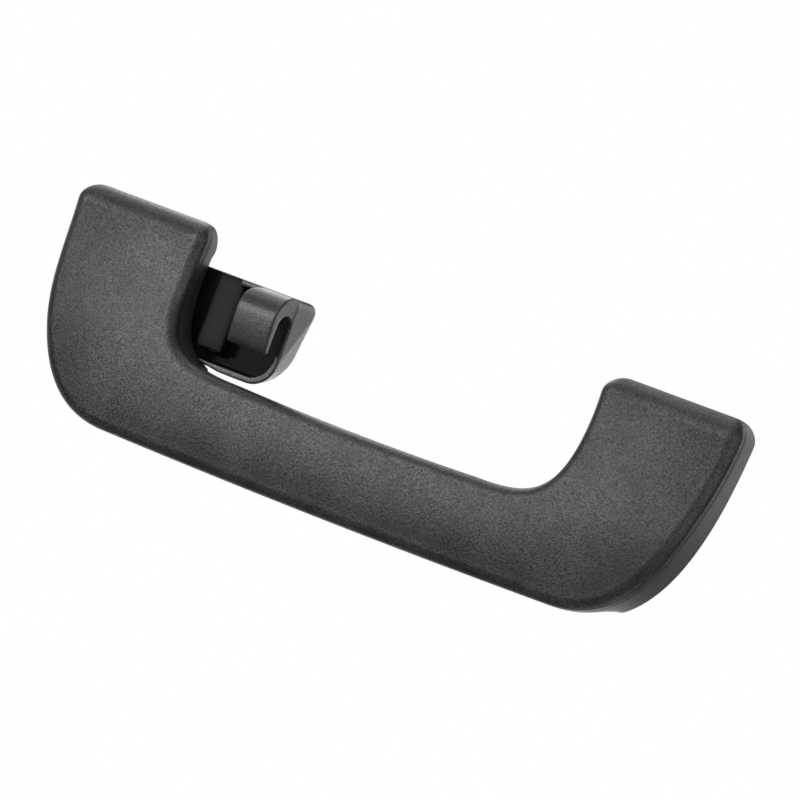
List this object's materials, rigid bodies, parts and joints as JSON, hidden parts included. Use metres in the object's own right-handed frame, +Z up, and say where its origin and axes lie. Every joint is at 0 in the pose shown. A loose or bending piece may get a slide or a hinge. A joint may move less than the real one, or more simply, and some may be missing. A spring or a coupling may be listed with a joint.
{
  "type": "roof grab handle",
  "caption": "U-shaped folding roof grab handle for a car interior with sprung, damped hinges in its arms and an open J-shaped coat hook beside one arm.",
  "frame": {"origin": "middle between the two fixing holes, in the plane of the roof lining", "axes": "+X along the handle from the plain arm to the arm with the coat hook, +Y from the cabin into the roof lining, +Z up, from the bearing ends to the bar of the folded grip"},
  "size_m": [0.235, 0.0224, 0.0695],
  "materials": {
    "grip_front": "fine grain, satin",
    "grip_rear": "smooth satin",
    "hook_plastic": "fine grain, satin",
    "bracket": "matt",
    "pin_steel": "drawn steel",
    "spring_steel": "drawn spring wire",
    "sleeve_steel": "zinc-plated steel",
    "damper_plastic": "matt",
    "damper_inner": "natural acetal",
    "rubber": "matt rubber"
  },
  "bodies": {
    "mounting": {"bracket_plain": "bracket", "bracket_hook": "hook_plastic", "return_spring": "spring_steel", "damper_housing": "damper_plastic", "damper_cap": "damper_inner", "damper_seal": "rubber", "sleeve_plain": "sleeve_steel", "sleeve_hook": "sleeve_steel", "screw_cover_plain": "bracket", "screw_cover_hook": "bracket", "stop_buffer_plain": "rubber", "stop_buffer_hook": "rubber"},
    "grip": {"grip_front_shell": "grip_front", "grip_rear_shell": "grip_rear", "hinge_pin_plain": "pin_steel", "hinge_pin_hook": "pin_steel", "damper_rotor": "damper_inner"}
  },
  "joints": [
    {"name": "grip_swing", "type": "hinge", "parent": "mounting", "child": "grip", "pos_m": [0, -0.0076, -0.0209], "axis": [1, 0, 0], "range_deg": [0, 90], "stiffness_Nm_per_rad": 0.12, "springref_deg": -34.38, "deforming": ["return_spring"]}
  ]
}
